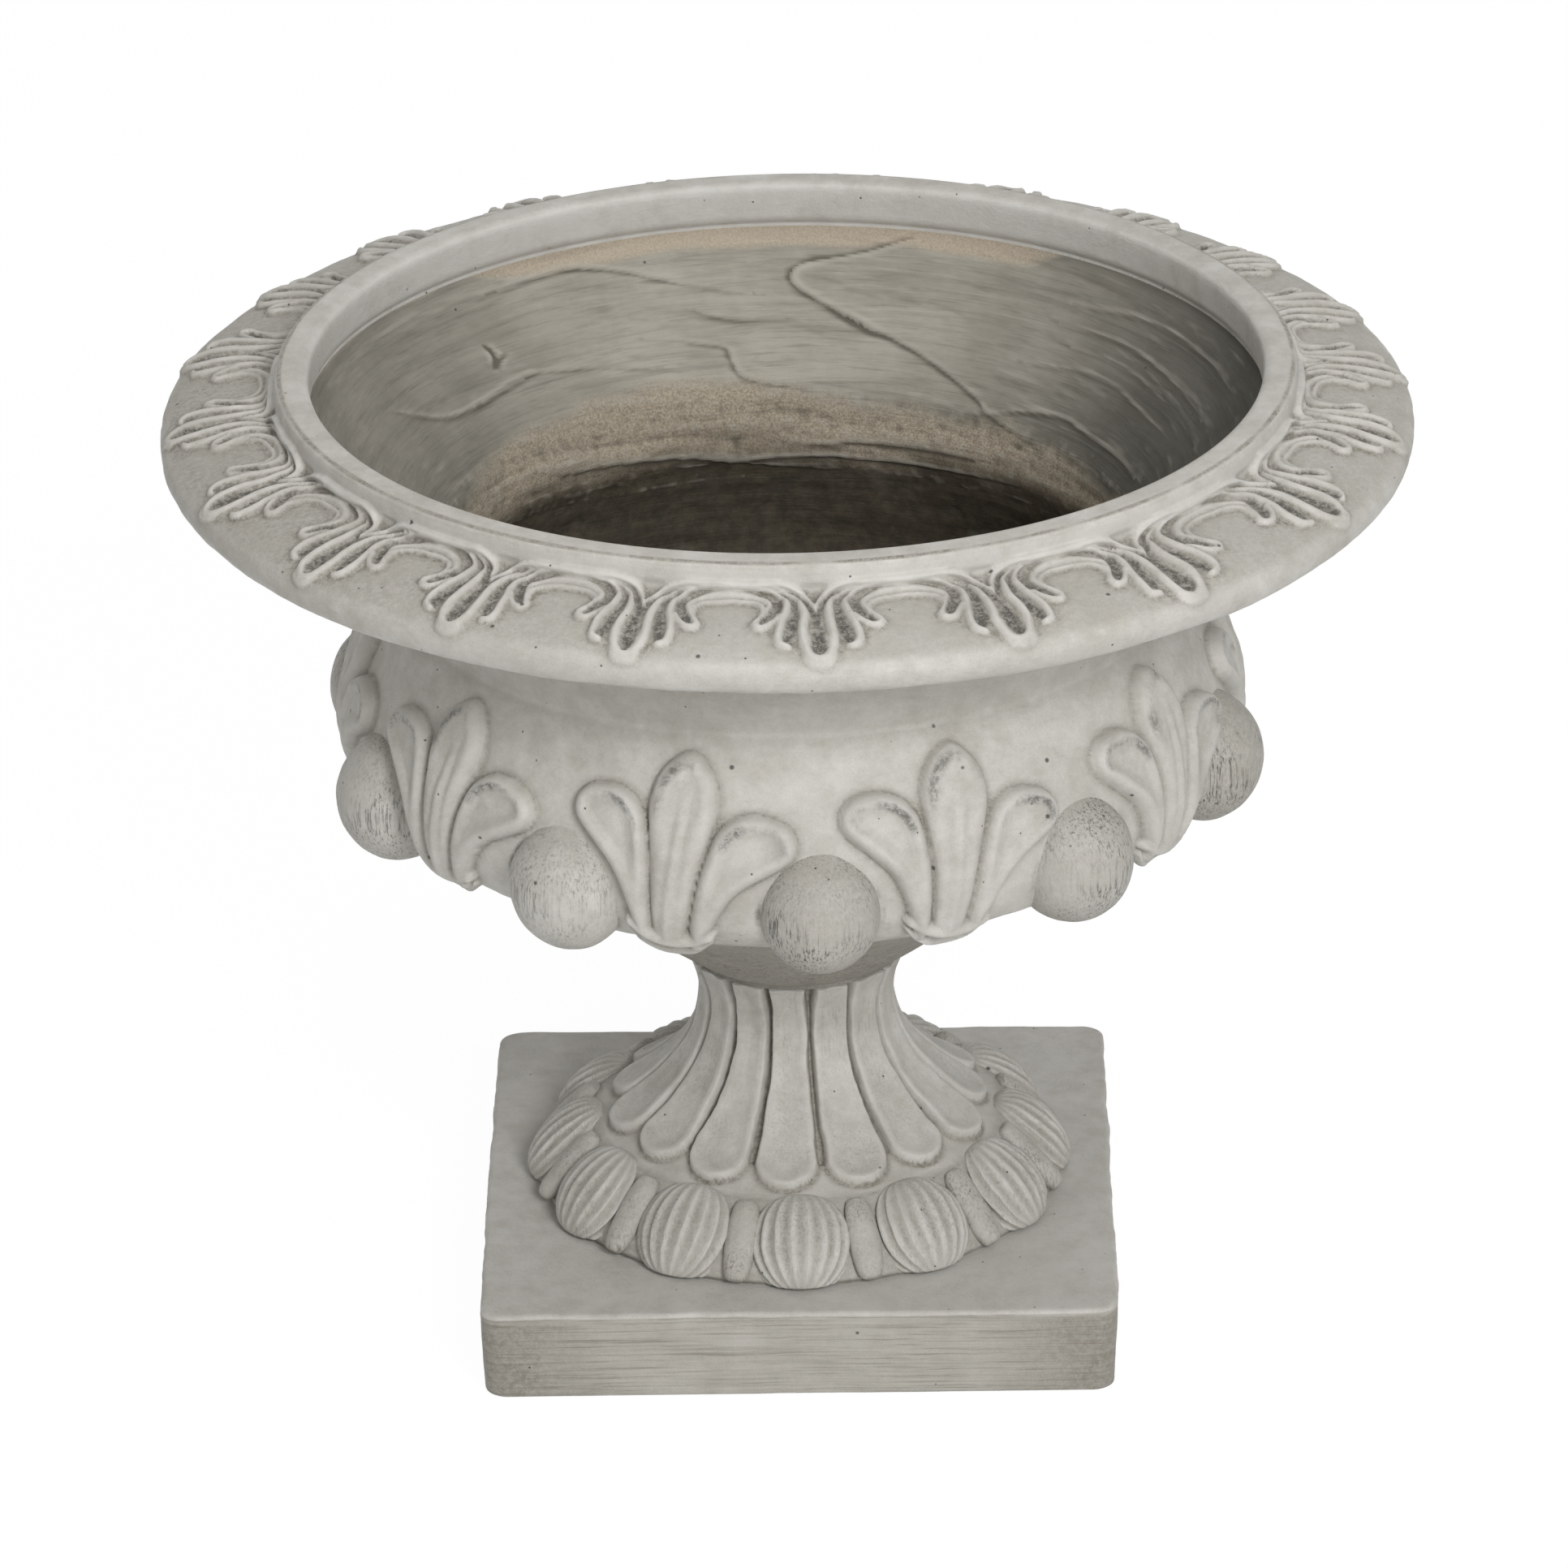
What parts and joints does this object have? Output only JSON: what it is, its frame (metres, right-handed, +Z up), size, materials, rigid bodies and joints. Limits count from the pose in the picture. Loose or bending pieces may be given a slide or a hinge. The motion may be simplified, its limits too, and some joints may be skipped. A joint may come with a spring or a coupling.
{
  "type": "pedestal flower pot",
  "caption": "Classical urn planter in cast concrete: wide bowl with a scrolled rim, palmettes and balls on a fluted pedestal with an egg-and-dart foot and a square plinth.",
  "frame": {"origin": "middle of the underside of the plinth, on the axis of the bowl", "axes": "+Z up along the axis of the bowl, -Y the face towards the picture's viewer, square sides of the plinth along X and Y"},
  "size_m": [0.53, 0.53, 0.424],
  "materials": {
    "cast_concrete": "rough",
    "mortar": "rough",
    "sleeve_plastic": "matte",
    "dowel_steel": "satin"
  },
  "bodies": {
    "root": {"bowl": "cast_concrete", "pedestal": "cast_concrete", "plinth": "cast_concrete", "neck_mortar": "mortar", "foot_mortar": "mortar", "drain_sleeve": "sleeve_plastic", "neck_dowels": "dowel_steel", "foot_dowels": "dowel_steel"}
  },
  "joints": []
}
